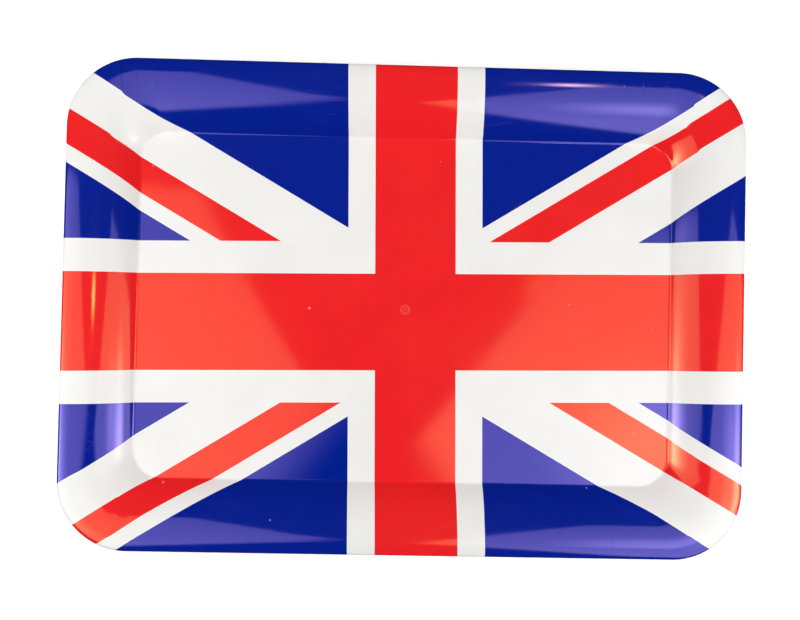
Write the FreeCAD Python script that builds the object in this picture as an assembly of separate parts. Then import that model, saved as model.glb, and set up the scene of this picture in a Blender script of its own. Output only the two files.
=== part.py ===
import FreeCAD, Part
import math
import os

from FreeCAD import Placement, Rotation, Vector

# A one-piece moulded plastic serving tray with a printed film moulded onto its upper face.
# Lengths are in millimetres and angles in degrees. X runs along the tray, Y across it and
# Z up. The origin is on the resting plane, under the middle of the tray.

# Outline of the rim, seen from above
tray_length = 430.0
tray_width = 309.0
rim_corner_radius = 44.0
floor_corner_radius = 17.5

# Thicknesses
wall_thickness = 2.2
film_thickness = 0.3

# Border profile, followed outwards from the flat floor to the edge of the rim
crease_radius = 2.5
wall_angle = 45.0
straight_wall = 1.4
wall_bow_radius = 48.0
wall_bow_end_angle = 24.0
rim_bow_radius = 64.0
crown_start_angle = 6.0
crown_radius = 17.0
crown_end_angle = 15.0
lip_radius = 3.0
skirt_height = 1.0

# Underside: a low foot ring round the floor, and the stub left where the plastic was fed in
foot_height = 1.2
foot_width = 3.0
foot_inset = 5.0
foot_edge_radius = 0.5
gate_radius = 2.2
gate_height = 0.6

# Printed flag: its full size before the rim crops it, and how it lies on the tray
flag_height = 310.0
flag_length = 518.0
flag_shift = Vector(6.8, -7.8, 0.0)
flag_turn = 1.06

# Flag proportions, as parts of the flag's height
red_cross_part = 6.0 / 30.0
white_cross_part = 10.0 / 30.0
white_saltire_part = 6.0 / 30.0
red_saltire_part = 2.0 / 30.0

floor_top = foot_height + wall_thickness + film_thickness
depth_below_film = wall_thickness + film_thickness


def sine(degrees):
    return math.sin(math.radians(degrees))


def cosine(degrees):
    return math.cos(math.radians(degrees))


# ---------------------------------------------------------------- border profile

def arc(start, from_angle, to_angle, radius):
    """Three poles and weights of an arc whose slope turns between two angles.

    The slope rises along a hollow arc and falls along a crowned one."""
    turn = 1.0 if to_angle > from_angle else -1.0
    run = turn * radius * (sine(to_angle) - sine(from_angle))
    rise = turn * radius * (cosine(from_angle) - cosine(to_angle))
    half = abs(to_angle - from_angle) / 2.0
    reach = radius * math.tan(math.radians(half))
    middle = (start[0] + reach * cosine(from_angle), start[1] + reach * sine(from_angle))
    end = (start[0] + run, start[1] + rise)
    return [start, middle, end], [1.0, cosine(half), 1.0]


def line(start, run, rise):
    """Three poles and weights of a straight stretch."""
    middle = (start[0] + run / 2.0, start[1] + rise / 2.0)
    end = (start[0] + run, start[1] + rise)
    return [start, middle, end], [1.0, 1.0, 1.0]


def border_profile(depth):
    """Border segments, as (outward distance, height) poles, a given depth under the surface."""
    spans = [arc((0.0, floor_top - depth), 0.0, wall_angle, crease_radius + depth)]
    spans.append(line(spans[-1][0][-1], straight_wall * cosine(wall_angle),
                      straight_wall * sine(wall_angle)))
    spans.append(arc(spans[-1][0][-1], wall_angle, wall_bow_end_angle, wall_bow_radius - depth))
    spans.append(arc(spans[-1][0][-1], wall_bow_end_angle, crown_start_angle, rim_bow_radius - depth))
    spans.append(arc(spans[-1][0][-1], crown_start_angle, -crown_end_angle, crown_radius - depth))
    spans.append(arc(spans[-1][0][-1], -crown_end_angle, -90.0, lip_radius - depth))
    spans.append(line(spans[-1][0][-1], 0.0, -skirt_height))
    return spans


border_width = border_profile(0.0)[-1][0][-1][0]
floor_half_length = tray_length / 2.0 - border_width
floor_half_width = tray_width / 2.0 - border_width
radius_growth = (rim_corner_radius - floor_corner_radius) / border_width


# ---------------------------------------------------------------- rounded outline

# Each corner: the side of the tray it is on, and its arc's three pole directions
corners = [
    ((1, 1), [(1, 0), (1, 1), (0, 1)]),
    ((-1, 1), [(0, 1), (-1, 1), (-1, 0)]),
    ((-1, -1), [(-1, 0), (-1, -1), (0, -1)]),
    ((1, -1), [(0, -1), (1, -1), (1, 0)]),
]
corner_weights = [1.0, math.sqrt(0.5), 1.0]


def outline_pole(corner, direction, distance, height):
    """A pole of the outline that lies a given distance outside the floor's edge."""
    side = corners[corner][0]
    radius = floor_corner_radius + radius_growth * distance
    centre_x = side[0] * (floor_half_length + distance - radius)
    centre_y = side[1] * (floor_half_width + distance - radius)
    return Vector(centre_x + radius * direction[0], centre_y + radius * direction[1], height)


def patch(columns, column_weights, span_weights):
    """A face from columns of profile poles."""
    surface = Part.BSplineSurface()
    weights = [[column * span for span in span_weights] for column in column_weights]
    across = len(columns)
    surface.buildFromPolesMultsKnots(columns, [across, across], [3, 3], [0.0, 1.0], [0.0, 1.0],
                                     False, False, across - 1, 2, weights)
    return surface.toShape()


def band(span):
    """The eight faces that one profile segment makes on its way round the tray."""
    poles, weights = span
    faces = []
    for index in range(len(corners)):
        directions = corners[index][1]
        following = (index + 1) % len(corners)
        next_direction = corners[following][1][0]
        bend = [[outline_pole(index, way, *pole) for pole in poles] for way in directions]
        faces.append(patch(bend, corner_weights, weights))
        arrival = [outline_pole(following, next_direction, *pole) for pole in poles]
        faces.append(patch([bend[-1], arrival], [1.0, 1.0], weights))
    return faces


def outline(distance, height):
    """Closed wire of the rounded rectangle at one distance and height."""
    edges = []
    for index, (side, directions) in enumerate(corners):
        radius = floor_corner_radius + radius_growth * distance
        start = outline_pole(index, directions[0], distance, height)
        end = outline_pole(index, directions[2], distance, height)
        centre = outline_pole(index, (0, 0), distance, height)
        outward = Vector(side[0], side[1], 0.0).normalize() * radius
        edges.append(Part.Arc(start, centre + outward, end).toShape())
        following = (index + 1) % len(corners)
        next_direction = corners[following][1][0]
        arrival = outline_pole(following, next_direction, distance, height)
        edges.append(Part.LineSegment(end, arrival).toShape())
    return Part.Wire(edges)


def skin(depth):
    """All faces of the tray's upper surface, moved a given depth under it."""
    faces = [Part.Face(outline(0.0, floor_top - depth))]
    for span in border_profile(depth):
        faces.extend(band(span))
    return faces


def layer(top_depth, bottom_depth):
    """Closed shell of plastic between two depths under the upper surface."""
    top_edge = border_profile(top_depth)[-1][0][-1]
    bottom_edge = border_profile(bottom_depth)[-1][0][-1]
    rim_end = Part.Face(outline(*top_edge)).cut(Part.Face(outline(*bottom_edge))).Faces[0]
    shell = Part.makeShell(skin(top_depth) + skin(bottom_depth) + [rim_end])
    shell.sewShape()
    solid = Part.makeSolid(shell)
    if solid.Volume < 0:
        solid.reverse()
    return solid


# ---------------------------------------------------------------- tray body

def foot_ring():
    """Low ring under the edge of the floor, with its lower edges rounded."""
    bury = wall_thickness / 2.0
    outer = Part.Face(outline(-foot_inset, 0.0))
    inner = Part.Face(outline(-foot_inset - foot_width, 0.0))
    rise = Vector(0.0, 0.0, foot_height + bury)
    ring = outer.extrude(rise).cut(inner.extrude(rise))
    resting_edges = [edge for edge in ring.Edges if edge.BoundBox.ZMax < foot_edge_radius]
    return ring.makeFillet(foot_edge_radius, resting_edges)


def gate_stub():
    """Stub of the injection gate, in the middle of the underside."""
    bury = wall_thickness / 2.0
    start = Vector(0.0, 0.0, foot_height - gate_height)
    return Part.makeCylinder(gate_radius, gate_height + bury, start)


def tray_body():
    return layer(film_thickness, depth_below_film).fuse([foot_ring(), gate_stub()]).removeSplitter()


# ---------------------------------------------------------------- printed film

# The prisms that divide the film by colour reach well past it on every side
tall = 60.0
far = tray_length

squeeze = flag_length / (2.0 * flag_height)
diagonal_angle = math.degrees(math.atan2(flag_height, flag_length))
saltire_scale = flag_height * cosine(diagonal_angle) / cosine(math.degrees(math.atan(0.5)))


def on_tray(shape):
    """A prism drawn on the flag's own axes, laid on the tray as the flag lies."""
    shape.Placement = Placement(flag_shift, Rotation(Vector(0, 0, 1), flag_turn)) * shape.Placement
    return shape


def upright_box(x_low, y_low, x_high, y_high):
    return Part.makeBox(x_high - x_low, y_high - y_low, tall, Vector(x_low, y_low, -tall / 2.0))


def cross(part):
    """The upright cross whose arms take up a given part of the flag's height."""
    half_height = part * flag_height / 2.0
    half_length = half_height * squeeze
    level_arm = upright_box(-far, -half_height, far, half_height)
    upright_arm = upright_box(-half_length, -far, half_length, far)
    return on_tray(level_arm.fuse(upright_arm))


def quarter(side_x, side_y):
    """The quarter of the flag outside the white-edged cross."""
    near_y = white_cross_part * flag_height / 2.0
    near_x = near_y * squeeze
    xs = sorted([side_x * near_x, side_x * far])
    ys = sorted([side_y * near_y, side_y * far])
    return on_tray(upright_box(xs[0], ys[0], xs[1], ys[1]))


def diagonal_band(slope, low, high):
    """A band along one diagonal, between two offsets to the diagonal's upper side."""
    strip = upright_box(-far, low, far, high)
    strip.Placement = Placement(Vector(), Rotation(Vector(0, 0, 1), slope * diagonal_angle))
    return on_tray(strip)


def printed_film():
    """The film's solids by ink colour."""
    film = layer(0.0, film_thickness)
    white_half = white_saltire_part * saltire_scale / 2.0
    red_width = red_saltire_part * saltire_scale
    red = [film.common(cross(red_cross_part))]
    blue = []
    for side_x, side_y in [(1, 1), (-1, 1), (-1, -1), (1, -1)]:
        corner_film = film.common(quarter(side_x, side_y))
        slope = side_x * side_y
        red_span = (0.0, red_width) if side_x > 0 else (-red_width, 0.0)
        red.append(corner_film.common(diagonal_band(slope, *red_span)))
        blue.append(corner_film.cut(diagonal_band(slope, -white_half, white_half)))
    white = film.cut(red + blue)
    return {"film_white": white.Solids, "film_red": solids_of(red), "film_blue": solids_of(blue)}


def solids_of(shapes):
    return [solid for shape in shapes for solid in shape.Solids]


# ---------------------------------------------------------------- files

os.makedirs("parts", exist_ok=True)
body = tray_body()
body.exportStep("parts/tray_body.step")
print("tray_body", body.ShapeType, len(body.Solids), body.isValid(), round(body.Volume))
for name, solids in printed_film().items():
    group = Part.makeCompound(solids)
    group.exportStep("parts/" + name + ".step")
    print(name, len(solids), group.isValid(), round(group.Volume))
print("border width", round(border_width, 2), "radius growth", round(radius_growth, 3))
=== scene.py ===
import math

import bpy
import numpy as np
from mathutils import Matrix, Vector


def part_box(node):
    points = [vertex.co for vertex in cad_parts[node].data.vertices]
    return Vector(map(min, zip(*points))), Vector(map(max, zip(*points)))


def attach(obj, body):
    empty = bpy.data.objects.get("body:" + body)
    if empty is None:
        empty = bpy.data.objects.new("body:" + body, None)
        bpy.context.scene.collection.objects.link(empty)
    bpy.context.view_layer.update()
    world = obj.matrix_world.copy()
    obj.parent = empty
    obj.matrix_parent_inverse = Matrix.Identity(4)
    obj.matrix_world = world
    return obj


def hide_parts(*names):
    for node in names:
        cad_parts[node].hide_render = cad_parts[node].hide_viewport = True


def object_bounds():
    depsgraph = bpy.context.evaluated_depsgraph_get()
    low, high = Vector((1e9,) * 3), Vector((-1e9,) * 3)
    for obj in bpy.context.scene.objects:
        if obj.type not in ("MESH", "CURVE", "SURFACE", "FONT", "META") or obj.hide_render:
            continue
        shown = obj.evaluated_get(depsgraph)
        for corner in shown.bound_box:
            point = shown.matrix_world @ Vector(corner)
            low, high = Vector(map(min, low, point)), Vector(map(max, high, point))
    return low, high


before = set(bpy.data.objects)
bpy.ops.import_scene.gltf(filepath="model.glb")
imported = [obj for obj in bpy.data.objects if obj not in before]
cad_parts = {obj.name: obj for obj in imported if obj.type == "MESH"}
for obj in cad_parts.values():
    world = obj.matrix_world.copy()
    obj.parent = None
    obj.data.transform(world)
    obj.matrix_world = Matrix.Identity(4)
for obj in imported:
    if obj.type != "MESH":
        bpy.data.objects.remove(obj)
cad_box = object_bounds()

# A moulded plastic serving tray with a printed flag film on its upper face. Metres throughout;
# X runs along the tray, Y across it and Z up, with the origin on the resting plane.

MM = 0.001

# ---------------------------------------------------------------- dimensions of the tray

rim_half_length = cad_box[1].x
rim_half_width = cad_box[1].y
film_thickness = rim_half_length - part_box("tray_body")[1].x
wall_thickness = 2.2 * MM
foot_height = 1.2 * MM
floor_top = foot_height + wall_thickness + film_thickness

rim_corner_radius = 44 * MM
floor_corner_radius = 17.5 * MM

# Border profile from the flat floor outwards: radii in metres, slopes in degrees
crease_radius = 2.5 * MM
wall_slope = 45.0
straight_wall = 1.4 * MM
wall_bow_radius = 48 * MM
wall_bow_end_slope = 24.0
rim_bow_radius = 64 * MM
crown_start_slope = 6.0
crown_radius = 17 * MM
crown_end_slope = -15.0
lip_radius = 3 * MM
lip_end_slope = -90.0
skirt_height = 1.0 * MM

# The flag: its full size before the rim crops it, and how it lies on the tray
flag_height = 310 * MM
flag_length = 518 * MM
flag_shift = np.array([6.8, -7.8]) * MM
flag_turn = math.radians(1.06)


# ---------------------------------------------------------------- border profile

def arc_span(radius, start_slope, end_slope):
    """Length and curvature of an arc; curvature is negative where the border is crowned."""
    turn = math.radians(end_slope - start_slope)
    return abs(turn) * radius, math.copysign(1.0 / radius, turn)


def border_spans(depth):
    """Spans of the border, as (length, curvature), a given depth under the upper surface."""
    return [
        arc_span(crease_radius + depth, 0.0, wall_slope),
        (straight_wall, 0.0),
        arc_span(wall_bow_radius - depth, wall_slope, wall_bow_end_slope),
        arc_span(rim_bow_radius - depth, wall_bow_end_slope, crown_start_slope),
        arc_span(crown_radius - depth, crown_start_slope, crown_end_slope),
        arc_span(lip_radius - depth, crown_end_slope, lip_end_slope),
        (skirt_height, 0.0),
    ]


def border_at(run, depth=0.0):
    """Outward distance, height and slope after a given run along the border from the floor."""
    run = np.asarray(run, float)
    distance = np.minimum(run, 0.0)
    height = np.full(run.shape, floor_top - depth)
    slope = np.zeros(run.shape)
    start, start_distance, start_height, start_slope = 0.0, 0.0, floor_top - depth, 0.0
    for length, curvature in border_spans(depth):
        along = np.clip(run - start, 0.0, length)
        here = run > start
        if curvature:
            turned = start_slope + curvature * along
            out = (np.sin(turned) - math.sin(start_slope)) / curvature
            up = (math.cos(start_slope) - np.cos(turned)) / curvature
        else:
            turned = np.full(run.shape, start_slope)
            out = along * math.cos(start_slope)
            up = along * math.sin(start_slope)
        distance = np.where(here, start_distance + out, distance)
        height = np.where(here, start_height + up, height)
        slope = np.where(here, turned, slope)
        if curvature:
            end_slope = start_slope + curvature * length
            start_distance += (math.sin(end_slope) - math.sin(start_slope)) / curvature
            start_height += (math.cos(start_slope) - math.cos(end_slope)) / curvature
            start_slope = end_slope
        else:
            start_distance += length * math.cos(start_slope)
            start_height += length * math.sin(start_slope)
        start += length
    return distance, height, slope


def border_run(depth=0.0):
    return sum(length for length, curvature in border_spans(depth))


border_width = float(border_at(border_run())[0])
floor_half_length = rim_half_length - border_width
floor_half_width = rim_half_width - border_width
radius_growth = (rim_corner_radius - floor_corner_radius) / border_width


# ---------------------------------------------------------------- rounded outline

corner_sides = np.array([(1, 1), (-1, 1), (-1, -1), (1, -1)], float)


def corner_point(corner, angle, distance):
    """Points of a corner's arc on the outline a given distance outside the floor's edge."""
    radius = floor_corner_radius + radius_growth * distance
    side = corner_sides[corner]
    x = side[..., 0] * (floor_half_length + distance - radius) + radius * np.cos(angle)
    y = side[..., 1] * (floor_half_width + distance - radius) + radius * np.sin(angle)
    return x, y


def outline_at(station, distance):
    """Point and outward direction at a station round the outline.

    Stations run from 0 to 8: each corner takes one, from an even number, and each side the next."""
    station = np.mod(station, 8.0)
    leg = np.minimum(np.floor(station), 7).astype(int)
    part = station - leg
    corner = leg // 2
    on_side = leg % 2 == 1
    quarter = math.pi / 2
    angle = quarter * (corner + np.where(on_side, 1.0, part))
    x, y = corner_point(corner, angle, distance)
    next_x, next_y = corner_point((corner + 1) % 4, angle, distance)
    x = np.where(on_side, x + part * (next_x - x), x)
    y = np.where(on_side, y + part * (next_y - y), y)
    return x, y, np.cos(angle), np.sin(angle)


core_inset = 14 * MM   # inside this inset of the floor's edge the outline only shrinks to the centre
core_run = core_inset + floor_half_width


def surface_at(station, run, depth=0.0):
    """Position, normal and print coordinates of the upper surface, or of one under it.

    The run is measured outwards from the floor's edge; it is negative on the floor."""
    distance, height, slope = border_at(run, depth)
    shrink = np.clip(1.0 + (run + core_inset) / (core_run - core_inset), 0.0, 1.0)
    distance = np.maximum(distance, -core_inset)
    x, y, out_x, out_y = outline_at(station, distance)
    x, y = x * shrink, y * shrink
    lift, tilt_x, tilt_y = waviness(x, y, distance)
    flat = np.cos(slope)
    normal = np.stack([-np.sin(slope) * out_x - flat * tilt_x,
                       -np.sin(slope) * out_y - flat * tilt_y, flat], -1)
    normal /= np.linalg.norm(normal, axis=-1, keepdims=True)
    position = np.stack([x, y, height], -1) + normal * (lift * flat)[..., None]
    stretch = np.maximum(run, 0.0) - np.maximum(distance, 0.0)
    printed = np.stack([x + stretch * out_x, y + stretch * out_y], -1)
    return position, normal, on_flag(slip_at_folds(printed))


def on_flag(points):
    """Tray coordinates turned and shifted into the flag's own."""
    moved = points - flag_shift
    cosine, sine = math.cos(flag_turn), math.sin(flag_turn)
    along = moved[..., 0] * cosine + moved[..., 1] * sine
    across = moved[..., 1] * cosine - moved[..., 0] * sine
    return np.stack([along, across], -1)


# ---------------------------------------------------------------- unevenness of the moulding

wave_height = 0.03 * MM
wave_length = np.array([110, 85]) * MM
wave_phase = (1.0, 2.0)
dimple_height = 0.055 * MM
dimple_length = np.array([17, 27]) * MM
dimple_inset = 12 * MM      # how far inside the floor's edges the dimples begin
dimple_rise = 22 * MM       # the way over which they grow to their full height
crest_margin = 10 * MM      # the surface is true from here to the rim's edge
crest_fade = 8 * MM
slope_step = 0.2 * MM       # half the step over which slopes are measured


def smooth(value):
    """Smooth change from 0 to 1 while the value goes from 0 to 1."""
    value = np.clip(value, 0.0, 1.0)
    return value * value * (3 - 2 * value)


def unevenness(x, y):
    """Height of the long waves of the sheet and of the dimples where its corners are drawn."""
    full_turn = 2 * math.pi
    along_x = np.sin(full_turn * x / wave_length[0] + wave_phase[0])
    along_y = np.sin(full_turn * y / wave_length[1] + wave_phase[1])
    past_x = np.abs(x) - floor_half_length + dimple_inset
    past_y = np.abs(y) - floor_half_width + dimple_inset
    cornered = smooth(past_x / dimple_rise) * smooth(past_y / dimple_rise)
    phase = 1.3 * np.sign(x) + 0.6 * np.sign(y)     # each corner has dimples of its own
    across = np.cos(full_turn * (past_x - past_y) / dimple_length[0] + phase)
    outwards = np.cos(full_turn * (past_x + past_y) / dimple_length[1] + 2 * phase)
    return wave_height * along_x * along_y + dimple_height * cornered * across * outwards


def waviness(x, y, distance):
    """The unevenness and its slopes along X and Y. It fades out before the rim's crest."""
    share = smooth((border_width - crest_margin - distance) / crest_fade)
    tilt_x = (unevenness(x + slope_step, y) - unevenness(x - slope_step, y)) / (2 * slope_step)
    tilt_y = (unevenness(x, y + slope_step) - unevenness(x, y - slope_step)) / (2 * slope_step)
    return share * unevenness(x, y), share * tilt_x, share * tilt_y


# ---------------------------------------------------------------- folds in the film

fold_slip = (1.1 * MM, 0.4 * MM)            # in the two corners on the +Y side, and in the other two
fold_start = np.array([167, 105]) * MM      # where the fold leaves the wall
fold_reach = np.array([17, 13]) * MM        # how far it bends out, and over what way
fold_width = 0.5 * MM
fold_growth = 3 * MM


def slip_at_folds(points):
    """The print, moved along Y beyond the fold that the film has in each corner."""
    size_x, size_y = np.abs(points[..., 0]), np.abs(points[..., 1])
    risen = size_y - fold_start[1]
    fold_x = fold_start[0] + fold_reach[0] * (1 - np.exp(-risen / fold_reach[1]))
    beyond = smooth((size_x - fold_x) / fold_width) * smooth(risen / fold_growth)
    slipped = points.copy()
    slipped[..., 1] -= beyond * np.where(points[..., 1] > 0, *fold_slip)
    return slipped


# ---------------------------------------------------------------- mesh grids

corner_steps = 84
side_step = 4 * MM


def stations():
    """Stations of the columns round the tray, closest together round the corners."""
    long_side = 2 * (floor_half_length - floor_corner_radius)
    short_side = 2 * (floor_half_width - floor_corner_radius)
    found = []
    for leg in range(8):
        if leg % 2 == 0:
            steps = corner_steps
        else:
            steps = round((short_side if leg in (3, 7) else long_side) / side_step)
        found.extend(leg + np.arange(steps) / steps)
    return np.array(found)


core_steps = 27
inset_steps = 6
span_steps = [8, 2, 18, 18, 12, 10, 2]


def runs(depth=0.0):
    """Runs of the rings, from the middle of the floor out to the end of the skirt."""
    core = -core_run + (core_run - core_inset) * np.arange(core_steps) / core_steps
    inset = -core_inset + core_inset * np.arange(inset_steps) / inset_steps
    found = [*core, *inset]
    start = 0.0
    for steps, (length, curvature) in zip(span_steps, border_spans(depth)):
        found.extend(start + length * np.arange(steps) / steps)
        start += length
    found.append(start)
    return np.array(found)


# ---------------------------------------------------------------- the flag's pattern

squeeze = flag_length / (2 * flag_height)
diagonal = math.atan2(flag_height, flag_length)
saltire_scale = flag_height * math.cos(diagonal) / math.cos(math.atan(0.5))
red_cross = np.array([squeeze, 1.0]) * flag_height / 10
white_cross = np.array([squeeze, 1.0]) * flag_height / 6
white_saltire = saltire_scale / 10
red_saltire = saltire_scale / 15


def cross_lines():
    """Edges of the upright cross, as (direction across the line, offset)."""
    return [(axis, side * half[number])
            for half in (red_cross, white_cross)
            for number, axis in enumerate(np.eye(2))
            for side in (-1, 1)]


def across_diagonal(rising):
    """Unit direction across one diagonal, towards the flag's upper side."""
    lean = -math.sin(diagonal) if rising else math.sin(diagonal)
    return np.array([lean, math.cos(diagonal)])


def ink_at(place):
    """Name of the ink at a place on the flag."""
    size = np.abs(place)
    if (size < red_cross).any():
        return "red"
    if (size < white_cross).any():
        return "white"
    offset = float(across_diagonal(place[0] * place[1] > 0) @ place)
    if abs(offset) > white_saltire:
        return "blue"
    beyond = offset if place[0] > 0 else -offset
    return "red" if 0 < beyond < red_saltire else "white"


touching = 1e-8     # a vertex closer than this to a line counts as on it


class Film:
    """The printed film as convex faces in (station, run), cut along every edge of the pattern."""

    def __init__(self):
        columns, rings = stations(), runs()
        grid_run, grid_station = np.meshgrid(rings[1:], columns, indexing="ij")
        self.station = np.concatenate([[0.0], grid_station.ravel()])
        self.run = np.concatenate([[rings[0]], grid_run.ravel()])
        count = len(columns)
        self.faces = []
        for column in range(count):
            following = (column + 1) % count
            self.faces.append([0, 1 + column, 1 + following])
            for ring in range(len(rings) - 2):
                low, high = 1 + ring * count, 1 + (ring + 1) * count
                self.faces.append([low + column, high + column, high + following, low + following])
        self.measure()

    def measure(self):
        self.position, self.normal, self.printed = surface_at(self.station, self.run)

    def cut(self, direction, offset, allowed):
        """Splits the allowed faces along a straight line of the flag."""
        side = self.printed @ direction - offset
        side[np.abs(side) < touching] = 0.0
        crossing = {}
        split = []
        for number, face in enumerate(self.faces):
            signs = side[face]
            if signs.min() < 0 < signs.max() and allowed(self.printed[face].mean(0)):
                split.append(number)
                for a, b in zip(face, face[1:] + face[:1]):
                    if side[a] * side[b] < 0:
                        crossing[(min(a, b), max(a, b))] = None
        self.insert(crossing, side)
        split = set(split)
        faces = []
        for number, face in enumerate(self.faces):
            whole = []
            for a, b in zip(face, face[1:] + face[:1]):
                whole.append(a)
                added = crossing.get((min(a, b), max(a, b)))
                if added is not None:
                    whole.append(added)
            if number in split:
                faces.extend(self.halves(whole, side))
            else:
                faces.append(whole)
        self.faces = faces

    def insert(self, crossing, side):
        """Adds a vertex where the line crosses each edge."""
        if not crossing:
            return
        edges = np.array(list(crossing))
        a, b = edges[:, 0], edges[:, 1]
        part = side[a] / (side[a] - side[b])
        station_a, station_b = self.station[a].copy(), self.station[b].copy()
        station_b = np.where(station_b - station_a > 4, station_b - 8, station_b)
        station_b = np.where(station_a - station_b > 4, station_b + 8, station_b)
        centre = a == 0
        station_a = np.where(centre, station_b, station_a)
        first = len(self.station)
        for number, edge in enumerate(crossing):
            crossing[edge] = first + number
        self.station = np.concatenate([self.station, station_a + part * (station_b - station_a)])
        self.run = np.concatenate([self.run, self.run[a] + part * (self.run[b] - self.run[a])])
        self.measure()

    def halves(self, face, side):
        """The two faces on either side of the line through a face."""
        known = [side[v] if v < len(side) else 0.0 for v in face]
        parts = []
        for sign in (1, -1):
            part = [v for v, value in zip(face, known) if value * sign >= 0]
            if len(part) > 2:
                parts.append(part)
        return parts


def in_corner(place):
    return (np.abs(place) > white_cross).all()


def printed_film():
    film = Film()
    for direction, offset in cross_lines():
        film.cut(direction, offset, lambda place: True)
    for rising in (True, False):
        direction = across_diagonal(rising)
        for offset in (-white_saltire, -red_saltire, 0.0, red_saltire, white_saltire):
            def allowed(place, offset=offset, rising=rising):
                right_diagonal = (place[0] * place[1] > 0) == rising
                right_half = offset == 0 or abs(offset) == white_saltire or offset * place[0] > 0
                return right_diagonal and right_half and in_corner(place)
            film.cut(direction, offset, allowed)
    return film


# ---------------------------------------------------------------- mesh objects

def mesh_object(name, vertices, faces, corner_normals, material):
    mesh = bpy.data.meshes.new(name)
    mesh.from_pydata([tuple(v) for v in vertices], [], faces)
    mesh.polygons.foreach_set("use_smooth", [True] * len(mesh.polygons))
    mesh.materials.append(material)
    mesh.normals_split_custom_set([tuple(n) for n in corner_normals])
    thing = bpy.data.objects.new(name, mesh)
    bpy.context.scene.collection.objects.link(thing)
    return thing


def closed_sheet(name, film, faces, material):
    """A closed solid from the film's faces of one ink: the upper face, the back and the edges."""
    used = sorted({v for face in faces for v in face})
    local = {v: number for number, v in enumerate(used)}
    top = film.position[used]
    normal = film.normal[used]
    bottom = top - normal * film_thickness
    count = len(used)
    solid_faces, corner_normals = [], []
    edges = {}
    for face in faces:
        ring = [local[v] for v in face]
        solid_faces.append(ring)
        corner_normals.extend(normal[ring])
        back = [v + count for v in reversed(ring)]
        solid_faces.append(back)
        corner_normals.extend(-normal[ring[::-1]])
        for a, b in zip(ring, ring[1:] + ring[:1]):
            if (b, a) in edges:
                del edges[(b, a)]
            else:
                edges[(a, b)] = None
    for a, b in edges:
        solid_faces.append([b, a, a + count, b + count])
        along = top[b] - top[a]
        outward = np.cross(along, normal[a])
        outward /= max(np.linalg.norm(outward), 1e-12)
        corner_normals.extend([outward] * 4)
    return mesh_object(name, np.concatenate([top, bottom]), solid_faces, corner_normals, material)


# ---------------------------------------------------------------- materials

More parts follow.
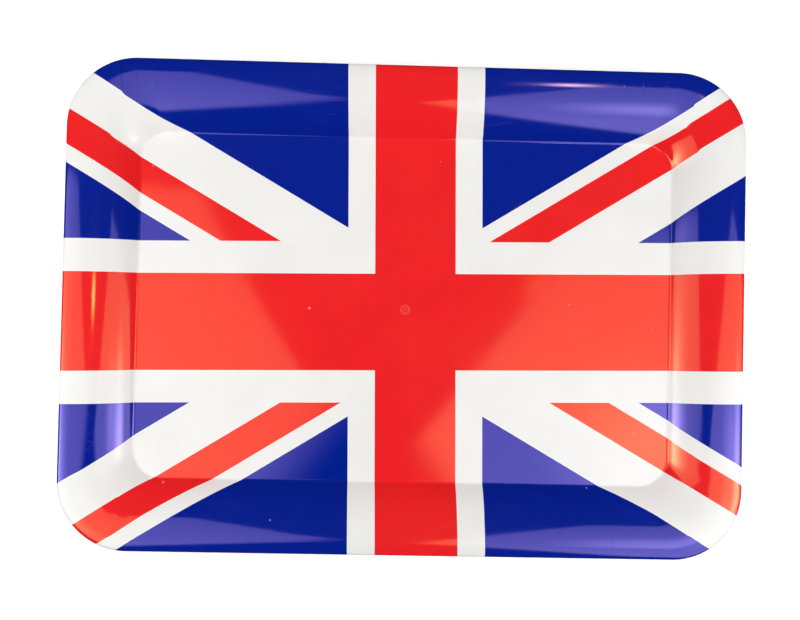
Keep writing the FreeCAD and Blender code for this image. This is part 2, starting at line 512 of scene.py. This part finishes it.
class Shading:
    """Adds shader nodes to a node tree and joins them. Lengths in a tree are metres."""

    def __init__(self, tree):
        self.nodes = tree.nodes
        self.links = tree.links

    def add(self, kind, inputs, **settings):
        node = self.nodes.new(kind)
        for name, value in settings.items():
            setattr(node, name, value)
        for key, value in inputs.items():
            self.put(node.inputs[key], value)
        return node

    def put(self, socket, value):
        if isinstance(value, bpy.types.NodeSocket):
            self.links.new(value, socket)
        else:
            socket.default_value = value

    def math(self, operation, first, second=0.0, third=0.0):
        inputs = {0: first, 1: second, 2: third}
        return self.add("ShaderNodeMath", inputs, operation=operation).outputs[0]

    def vector(self, operation, first, second=(0.0, 0.0, 0.0)):
        return self.add("ShaderNodeVectorMath", {0: first, 1: second}, operation=operation)

    def noise(self, place, scale, detail=2.0, roughness=0.5):
        inputs = {"Vector": place, "Scale": scale, "Detail": detail, "Roughness": roughness}
        return self.add("ShaderNodeTexNoise", inputs).outputs["Fac"]

    def spread(self, value, low, high, out_low=0.0, out_high=1.0):
        """Smooth change from one output to the other while the value goes from low to high."""
        inputs = {"Value": value, "From Min": low, "From Max": high, "To Min": out_low, "To Max": out_high}
        return self.add("ShaderNodeMapRange", inputs, interpolation_type="SMOOTHSTEP").outputs["Result"]

    def blend(self, amount, first, second):
        node = self.add("ShaderNodeMix", {}, data_type="RGBA")
        self.put(node.inputs["Factor"], amount)
        for name, colour in (("A", first), ("B", second)):
            socket = [one for one in node.inputs if one.name == name and one.type == "RGBA"][0]
            self.put(socket, colour)
        return [one for one in node.outputs if one.type == "RGBA"][0]

    def total(self, parts):
        summed = parts[0]
        for part in parts[1:]:
            summed = self.math("ADD", summed, part)
        return summed

    def greatest(self, parts):
        most = parts[0]
        for part in parts[1:]:
            most = self.math("MAXIMUM", most, part)
        return most

    def place(self):
        return self.add("ShaderNodeTexCoord", {}).outputs["Object"]

    def flat_place(self, place):
        """The place with its height taken out."""
        return self.vector("MULTIPLY", place, (1.0, 1.0, 0.0)).outputs["Vector"]

    def spot(self, place, centre, radius):
        """One inside a small round mark, nothing outside it."""
        gap = self.vector("DISTANCE", place, (centre[0] * MM, centre[1] * MM, 0.0)).outputs["Value"]
        return self.spread(gap, 0.6 * radius * MM, 1.2 * radius * MM, 1.0, 0.0)

    def stroke(self, place, start, end, width):
        """One along a thin straight mark, nothing away from it."""
        base = (start[0] * MM, start[1] * MM, 0.0)
        along = ((end[0] - start[0]) * MM, (end[1] - start[1]) * MM, 0.0)
        reach = along[0] ** 2 + along[1] ** 2
        offset = self.vector("SUBTRACT", place, base).outputs["Vector"]
        part = self.math("DIVIDE", self.vector("DOT_PRODUCT", offset, along).outputs["Value"], reach)
        part = self.add("ShaderNodeClamp", {"Value": part}).outputs["Result"]
        nearest = self.vector("SCALE", along)
        self.put(nearest.inputs["Scale"], part)
        gap = self.vector("DISTANCE", offset, nearest.outputs["Vector"]).outputs["Value"]
        ends = self.math("MULTIPLY", part, self.math("SUBTRACT", 1.0, part))
        line = self.spread(gap, 0.2 * width * MM, width * MM, 1.0, 0.0)
        return self.math("MULTIPLY", line, self.spread(ends, 0.0, 0.1))

    def streaks(self, place, turn, length, width, share):
        """Scattered fine scratches that all run about one way."""
        mapping = {"Vector": place, "Rotation": (0.0, 0.0, turn), "Scale": (1.0 / length, 1.0 / width, 0.0)}
        stretched = self.add("ShaderNodeMapping", mapping).outputs["Vector"]
        grain = self.noise(stretched, 1.0, detail=0.0)
        patches = self.spread(self.noise(place, 22.0, detail=1.0), 0.48, 0.62)
        return self.math("MULTIPLY", self.spread(grain, share, share + 0.05), patches)


# Marks in millimetres: creases where the film was drawn round the corners, pale specks, hairlines
creases = [
    ((-181.7, 150.5), (-180.5, 131.0)), ((-171.9, 149.0), (-171.0, 127.0)),
    ((-167.3, 145.0), (-167.0, 137.0)), ((-159.6, 142.0), (-159.3, 133.0)),
    ((147.6, 150.0), (149.0, 131.0)), ((148.9, 127.5), (150.0, 117.0)),
    ((162.5, 150.5), (163.3, 127.0)), ((149.5, 129.0), (158.0, 120.5)),
    ((136.0, 146.0), (136.4, 135.0)), ((101.0, -137.5), (96.0, -141.5)),
    ((133.0, -147.0), (132.7, -140.5)),
]
specks = [(-61.5, -0.6, 0.9), (106.0, 5.6, 0.55), (159.6, -9.8, 0.45), (-151.0, -112.6, 0.7),
          (-81.9, -133.4, 0.6), (-163.0, 88.5, 0.45), (21.0, 96.0, 0.4), (149.4, -76.4, 0.5),
          (118.9, -111.9, 0.6)]
hairlines = [
    ((-213.0, -79.0), (-184.0, -91.0)), ((-208.0, -84.0), (-186.0, -80.0)),
    ((-203.0, -98.0), (-189.0, -84.0)), ((-211.0, -92.0), (-199.0, -104.0)),
    ((-96.0, 22.0), (-88.0, 31.0)), ((62.0, 61.0), (75.0, 72.0)), ((204.0, -84.0), (212.5, -68.0)),
    ((15.0, -139.0), (39.0, -132.0)), ((47.0, 118.0), (66.0, 121.0)),
]
crease_width = 0.55
hairline_width = 0.28

gate_radius = 2.5 * MM      # the ring that the gate, on the underside, leaves in the middle of the floor


def film_marks():
    """Node group that all three inks share: where creases, specks and scratches are."""
    group = bpy.data.node_groups.new("film_marks", "ShaderNodeTree")
    for name in ("Creases", "Specks", "Scratches", "Smudges"):
        group.interface.new_socket(name, in_out="OUTPUT", socket_type="NodeSocketFloat")
    shading = Shading(group)
    output = group.nodes.new("NodeGroupOutput")
    place = shading.place()
    flat = shading.flat_place(place)
    wander = shading.add("ShaderNodeTexNoise", {"Vector": place, "Scale": 90.0, "Detail": 1.0})
    shifted = shading.vector("SUBTRACT", wander.outputs["Color"], (0.5, 0.5, 0.5)).outputs["Vector"]
    shifted = shading.vector("MULTIPLY", shifted, (1.6 * MM, 1.6 * MM, 0.0)).outputs["Vector"]
    wavering = shading.vector("ADD", flat, shifted).outputs["Vector"]
    lines = [shading.stroke(wavering, start, end, crease_width) for start, end in creases]
    shading.put(output.inputs["Creases"], shading.greatest(lines))
    cells = shading.add("ShaderNodeTexVoronoi", {"Vector": place, "Scale": 42.0, "Randomness": 1.0})
    chosen = shading.spread(shading.add("ShaderNodeSeparateColor", {0: cells.outputs["Color"]}).outputs[0],
                            0.86, 0.9)
    dust = shading.spread(cells.outputs["Distance"], 0.008, 0.015, 1.0, 0.0)
    dust = shading.math("MULTIPLY", dust, chosen)
    gate_gap = shading.vector("DISTANCE", flat, (0.0, 0.0, 0.0)).outputs["Value"]
    gate_edge = shading.math("ABSOLUTE", shading.math("SUBTRACT", gate_gap, gate_radius))
    gate_ring = shading.spread(gate_edge, 0.0, 1.2 * MM, 0.24, 0.0)
    gate_dot = shading.spread(gate_gap, 0.2 * MM, 1.4 * MM, 0.24, 0.0)
    spots = [shading.spot(wavering, (x, y), radius) for x, y, radius in specks]
    shading.put(output.inputs["Specks"], shading.greatest(spots + [dust, gate_ring, gate_dot]))
    scratches = [shading.stroke(wavering, start, end, hairline_width) for start, end in hairlines]
    scratches.append(shading.streaks(place, 0.5, 0.02, 0.00035, 0.74))
    scratches.append(shading.streaks(place, -0.9, 0.014, 0.0003, 0.75))
    scratches.append(shading.streaks(place, 1.7, 0.03, 0.0003, 0.76))
    shading.put(output.inputs["Scratches"], shading.greatest(scratches))
    smudges = shading.noise(place, 17.0, detail=4.0, roughness=0.62)
    shading.put(output.inputs["Smudges"], shading.spread(smudges, 0.42, 0.72))
    return group


def ink_material(name, colour, tint, shine, marks):
    """Ink under a clear glossy film, with faint mottling, specks and fine scratches, and creases that are
    bumped and rougher and also painted darker as painted shade.
    """
    material = bpy.data.materials.new(name)
    material.use_nodes = True
    shading = Shading(material.node_tree)
    shader = material.node_tree.nodes["Principled BSDF"]
    marked = shading.add("ShaderNodeGroup", {}, node_tree=marks)
    place = shading.place()
    mottle = shading.noise(place, 31.0, detail=3.0)
    deep = [channel * 0.98 for channel in colour]
    light = [min(channel * 1.012, 1.0) for channel in colour]
    base = shading.blend(shading.spread(mottle, 0.3, 0.7), (*deep, 1.0), (*light, 1.0))
    # Painted shade: along the creases the ink is painted darker, standing in for the shade in the film's
    # folds
    crease_painted_shade = [channel * 0.55 for channel in colour]
    base = shading.blend(shading.math("MULTIPLY", marked.outputs["Creases"], 0.75), base, (*crease_painted_shade, 1.0))
    pale = [channel + (0.9 - channel) * 0.35 for channel in colour]
    base = shading.blend(shading.math("MULTIPLY", marked.outputs["Specks"], 0.8), base, (*pale, 1.0))
    worn = [channel * 0.85 + 0.02 for channel in colour]
    base = shading.blend(shading.math("MULTIPLY", marked.outputs["Scratches"], 0.5), base, (*worn, 1.0))
    shading.put(shader.inputs["Base Color"], base)
    roughness = shading.total([
        shading.math("MULTIPLY", marked.outputs["Smudges"], 0.035),
        shading.math("MULTIPLY", marked.outputs["Scratches"], 0.16),
        shading.math("MULTIPLY_ADD", marked.outputs["Creases"], 0.10, 0.075),
    ])
    shading.put(shader.inputs["Roughness"], roughness)
    peel = shading.noise(place, 150.0, detail=1.0)
    height = shading.add("ShaderNodeSeparateXYZ", {"Vector": place}).outputs["Z"]
    on_wall = shading.spread(height, floor_top + 1 * MM, floor_top + 6 * MM, 0.0, 0.006)
    lengthways = shading.vector("MULTIPLY", place, (6.0, 240.0, 240.0)).outputs["Vector"]
    drawn = shading.noise(lengthways, 1.0, detail=1.0)
    relief = shading.total([
        shading.math("MULTIPLY", peel, 0.0030),
        shading.math("MULTIPLY", drawn, on_wall),
        shading.math("MULTIPLY", marked.outputs["Creases"], 0.012),
    ])
    bump = shading.add("ShaderNodeBump", {"Strength": 1.0, "Distance": 0.001, "Height": relief})
    shading.put(shader.inputs["Normal"], bump.outputs["Normal"])
    shader.inputs["IOR"].default_value = 1.5
    shader.inputs["Specular IOR Level"].default_value = shine
    shader.inputs["Specular Tint"].default_value = (*tint, 1.0)
    return material


def moulded_material(name):
    """White moulded plastic: a faint grain, flow lines, and scuffs where it stands."""
    material = bpy.data.materials.new(name)
    material.use_nodes = True
    shading = Shading(material.node_tree)
    shader = material.node_tree.nodes["Principled BSDF"]
    place = shading.place()
    height = shading.add("ShaderNodeSeparateXYZ", {"Vector": place}).outputs["Z"]
    mottle = shading.noise(place, 14.0, detail=3.0)
    base = shading.blend(shading.spread(mottle, 0.3, 0.7), (0.80, 0.795, 0.76, 1.0), (0.87, 0.865, 0.83, 1.0))
    gap = shading.vector("LENGTH", shading.flat_place(place)).outputs["Value"]
    flow = shading.noise(place, 9.0, detail=2.0)
    evenly = shading.math("MULTIPLY", gap, 210.0)
    rings = shading.math("SINE", shading.math("MULTIPLY_ADD", flow, 9.0, evenly))
    flow_lines = shading.spread(rings, 0.55, 1.0, 0.0, 0.25)
    base = shading.blend(flow_lines, base, (0.76, 0.755, 0.72, 1.0))
    standing = shading.spread(height, 0.1 * MM, 0.6 * MM, 1.0, 0.0)
    rubbed = shading.spread(shading.noise(place, 120.0, detail=4.0, roughness=0.7), 0.4, 0.62)
    scuffed = shading.math("MULTIPLY", standing, rubbed)
    base = shading.blend(shading.math("MULTIPLY", scuffed, 0.65), base, (0.50, 0.49, 0.46, 1.0))
    scratches = shading.greatest([
        shading.streaks(place, 0.3, 0.03, 0.0004, 0.70),
        shading.streaks(place, -1.1, 0.02, 0.0003, 0.71),
    ])
    base = shading.blend(shading.math("MULTIPLY", scratches, 0.35), base, (0.62, 0.61, 0.58, 1.0))
    shading.put(shader.inputs["Base Color"], base)
    roughness = shading.total([
        shading.spread(shading.noise(place, 40.0, detail=3.0), 0.3, 0.7, 0.26, 0.34),
        shading.math("MULTIPLY", scuffed, 0.3),
        shading.math("MULTIPLY", scratches, 0.15),
    ])
    shading.put(shader.inputs["Roughness"], roughness)
    grain = shading.noise(place, 2200.0, detail=2.0)
    relief = shading.total([
        shading.math("MULTIPLY", grain, 0.012),
        shading.math("MULTIPLY", scratches, -0.006),
        shading.math("MULTIPLY", scuffed, -0.02),
    ])
    bump = shading.add("ShaderNodeBump", {"Strength": 1.0, "Distance": 0.001, "Height": relief})
    shading.put(shader.inputs["Normal"], bump.outputs["Normal"])
    shader.inputs["IOR"].default_value = 1.5
    return material


# Each ink's colour, and the tint and the strength of the shine on it. A tint above 1 gives the
# stronger coloured shine that a clear film has over a deep ink.
inks = {
    "white": ((0.905, 0.897, 0.871), (0.85, 0.85, 0.85), 0.30),
    "red": ((0.938, 0.0165, 0.0215), (1.3, 0.75, 0.38), 0.72),
    "blue": ((0.0, 0.0145, 0.300), (0.85, 0.66, 1.75), 0.72),
}


# ---------------------------------------------------------------- building

def build_film():
    film = printed_film()
    marks = film_marks()
    faces = {ink: [] for ink in inks}
    for face in film.faces:
        faces[ink_at(film.printed[face].mean(0))].append(face)
    for ink, (colour, tint, shine) in inks.items():
        material = ink_material("ink_" + ink, colour, tint, shine, marks)
        piece = closed_sheet("printed_film_" + ink, film, faces[ink], material)
        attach(piece, "root")
        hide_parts("film_" + ink)


build_film()

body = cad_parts["tray_body"]
body_material = moulded_material("tray_plastic")
for slot_index in range(len(body.material_slots)):
    body.material_slots[slot_index].link = "OBJECT"
    body.material_slots[slot_index].material = body_material


# ---------------------------------------------------------------- stage, light and camera

def make_floor():
    """A matt pale floor. Its glow grows with distance, so that it meets the backdrop softly."""
    half_size = 3.0
    mesh = bpy.data.meshes.new("studio_floor")
    corners = [(-half_size, -half_size, 0), (half_size, -half_size, 0),
               (half_size, half_size, 0), (-half_size, half_size, 0)]
    mesh.from_pydata(corners, [], [(0, 1, 2, 3)])
    floor = bpy.data.objects.new("studio_floor", mesh)
    bpy.context.scene.collection.objects.link(floor)
    material = bpy.data.materials.new("pale_floor")
    material.use_nodes = True
    shader = material.node_tree.nodes["Principled BSDF"]
    shader.inputs["Base Color"].default_value = (0.9, 0.9, 0.9, 1.0)
    shader.inputs["Roughness"].default_value = 0.9
    shader.inputs["Specular IOR Level"].default_value = 0.1
    shader.inputs["Emission Color"].default_value = (1.0, 1.0, 1.0, 1.0)
    shading = Shading(material.node_tree)
    gap = shading.vector("LENGTH", shading.place()).outputs["Value"]
    shading.put(shader.inputs["Emission Strength"], shading.spread(gap, 0.6, 2.2, 0.32, 0.86))
    mesh.materials.append(material)
    floor.visible_glossy = False


def make_backdrop():
    """A pale round wall behind the tray from every side. It adds no light and isn't mirrored."""
    radius, height, steps = 2.4, 4.0, 96
    turns = 2 * math.pi * np.arange(steps) / steps
    ring = [(radius * math.cos(turn), radius * math.sin(turn)) for turn in turns]
    vertices = [(x, y, level) for level in (0.0, height) for x, y in ring]
    faces = [(step, (step + 1) % steps, steps + (step + 1) % steps, steps + step) for step in range(steps)]
    mesh = bpy.data.meshes.new("studio_backdrop")
    mesh.from_pydata(vertices, [], faces)
    backdrop = bpy.data.objects.new("studio_backdrop", mesh)
    bpy.context.scene.collection.objects.link(backdrop)
    material = bpy.data.materials.new("pale_backdrop")
    material.use_nodes = True
    material.node_tree.nodes.clear()
    shading = Shading(material.node_tree)
    height_up = shading.add("ShaderNodeSeparateXYZ", {"Vector": shading.place()}).outputs["Z"]
    glow = shading.add("ShaderNodeEmission", {"Strength": shading.spread(height_up, 0.0, 1.2, 0.88, 0.95)})
    shading.add("ShaderNodeOutputMaterial", {"Surface": glow.outputs["Emission"]})
    mesh.materials.append(material)
    backdrop.visible_diffuse = False
    backdrop.visible_glossy = False
    backdrop.visible_transmission = False
    backdrop.visible_shadow = False


# Lights. Their places are in millimetres. A panel's glow is given at the origin and as its change
# with each metre along the three axes.
white_light = (1.0, 1.0, 1.0, 1.0)
amber_light = (1.0, 0.72, 0.33, 1.0)
weakest_glow = 0.3
sheet_gap = 2       # between a panel's lit sheet and its mirrored one


def glowing_sheet(name, corners, glow, colour=white_light):
    """A lit sheet that the camera doesn't see; glow makes its strength from the place on it."""
    mesh = bpy.data.meshes.new(name)
    mesh.from_pydata([[value * MM for value in corner] for corner in corners], [],
                     [tuple(range(len(corners)))])
    sheet = bpy.data.objects.new(name, mesh)
    bpy.context.scene.collection.objects.link(sheet)
    material = bpy.data.materials.new(name)
    material.use_nodes = True
    material.node_tree.nodes.clear()
    shading = Shading(material.node_tree)
    light = shading.add("ShaderNodeEmission", {"Color": colour, "Strength": glow(shading)})
    shading.add("ShaderNodeOutputMaterial", {"Surface": light.outputs["Emission"]})
    mesh.materials.append(material)
    sheet.visible_camera = False
    return sheet


def soft_spot(shading, centre, reach, strength):
    """Light that is strongest at a centre and fades to nothing at its reach each way."""
    offset = shading.vector("SUBTRACT", shading.place(), [value * MM for value in centre]).outputs["Vector"]
    shares = [1.0 / (value * MM) for value in reach]
    gap = shading.vector("LENGTH", shading.vector("MULTIPLY", offset, shares).outputs["Vector"])
    return shading.spread(gap.outputs["Value"], 0.0, 1.0, strength, 0.0)


def light_panel(name, corners, glow_at_origin, glow_slope, inward, lit_limits, mirrored_limits, hot_spots):
    """A panel whose glow changes evenly along a direction and fades at one edge.

    One sheet of it gives the soft light. The other is only mirrored in gloss, with brighter spots.
    The limits of each sheet are its strongest glow, and where it is faded and where it is full."""
    def even_glow(shading, most, faded, full):
        place = shading.place()
        along = shading.vector("DOT_PRODUCT", place, glow_slope).outputs["Value"]
        even = shading.math("ADD", along, glow_at_origin)
        limited = shading.add("ShaderNodeClamp", {"Value": even, "Min": weakest_glow, "Max": most})
        inside = shading.vector("DOT_PRODUCT", place, inward).outputs["Value"]
        share = shading.spread(inside, faded * MM, full * MM)
        return shading.math("MULTIPLY", limited.outputs["Result"], share)

    def lit_glow(shading):
        return even_glow(shading, *lit_limits)

    def mirrored_glow(shading):
        glow = even_glow(shading, *mirrored_limits)
        for hot_spot in hot_spots:
            glow = shading.math("ADD", glow, soft_spot(shading, *hot_spot))
        return glow

    lit = glowing_sheet(name, corners, lit_glow)
    lit.visible_glossy = False
    lit.visible_shadow = False
    raised = [(x, y, z + sheet_gap) for x, y, z in corners]
    mirrored = glowing_sheet(name + "_mirrored", raised, mirrored_glow)
    mirrored.visible_diffuse = False


def fill_panel(name, corners, strength):
    """Soft fill that lights the tray but isn't mirrored in its gloss."""
    sheet = glowing_sheet(name, corners, lambda shading: strength)
    sheet.visible_glossy = False


def lamp(name, centre, reach, strength):
    """A small lamp with soft edges."""
    x, y, z = centre
    corners = [(x + side_x * reach[0], y + side_y * reach[1], z) for side_x, side_y in corner_sides]

    def glow(shading):
        return soft_spot(shading, centre, (*reach, 1000), strength)

    glowing_sheet(name, corners, glow, amber_light)


make_floor()
make_backdrop()
light_panel("right_panel",
            [(244, 127, 568), (22, -147, 525), (300, -580, 321), (460, -880, 187), (857, -1007, 60),
             (1372, -676, 60), (944, 19, 383)],
            1.4, (0.9, -3.0, 0.0), (0.835, 0.55, 0.0), (1.8, -32, 8), (2.6, -66, -20),
            [((505, -190, 399), (225, 210, 400), 9.0), ((288, -128, 475), (145, 108, 400), 2.6)])
light_panel("left_panel",
            [(-225, 148, 580), (-99, -60, 532), (-40, -110, 517), (-38, -157, 509), (-247, -446, 476),
             (-340, -600, 457), (-3165, -353, 754), (-2232, 317, 789)],
            1.15, (-1.85, -1.80, -0.11), (-0.804, 0.594, 0.0), (2.3, -45, 20), (2.4, -45, 20),
            [((-1400, -300, 605), (1200, 430, 1200), 11.0)])
fill_panel("far_fill",
           [(-1600, 1500, 1200), (1600, 1500, 1200), (1600, -100, 2400), (-1600, -100, 2400)], 1.27)
lamp("lamp", (422, 62, 1822), (88, 85), 27.0)

world_glow = 0.04
world = bpy.data.worlds.new("studio")
world.use_nodes = True
world.node_tree.nodes["Background"].inputs["Color"].default_value = (1, 1, 1, 1)
world.node_tree.nodes["Background"].inputs["Strength"].default_value = world_glow
bpy.context.scene.world = world
bpy.context.scene.view_settings.view_transform = "Standard"

# The camera looks almost straight down, from close to the middle of the tray
camera_place = (-23.3 * MM, -16.3 * MM, 709.9 * MM)
camera_turn = (0.0221, -0.0289, 0.0214)
camera_data = bpy.data.cameras.new("camera")
camera_data.lens = 49.5
camera_data.sensor_width = 36.0
camera = bpy.data.objects.new("camera", camera_data)
camera.location = camera_place
camera.rotation_euler = camera_turn
bpy.context.scene.collection.objects.link(camera)
bpy.context.scene.camera = camera
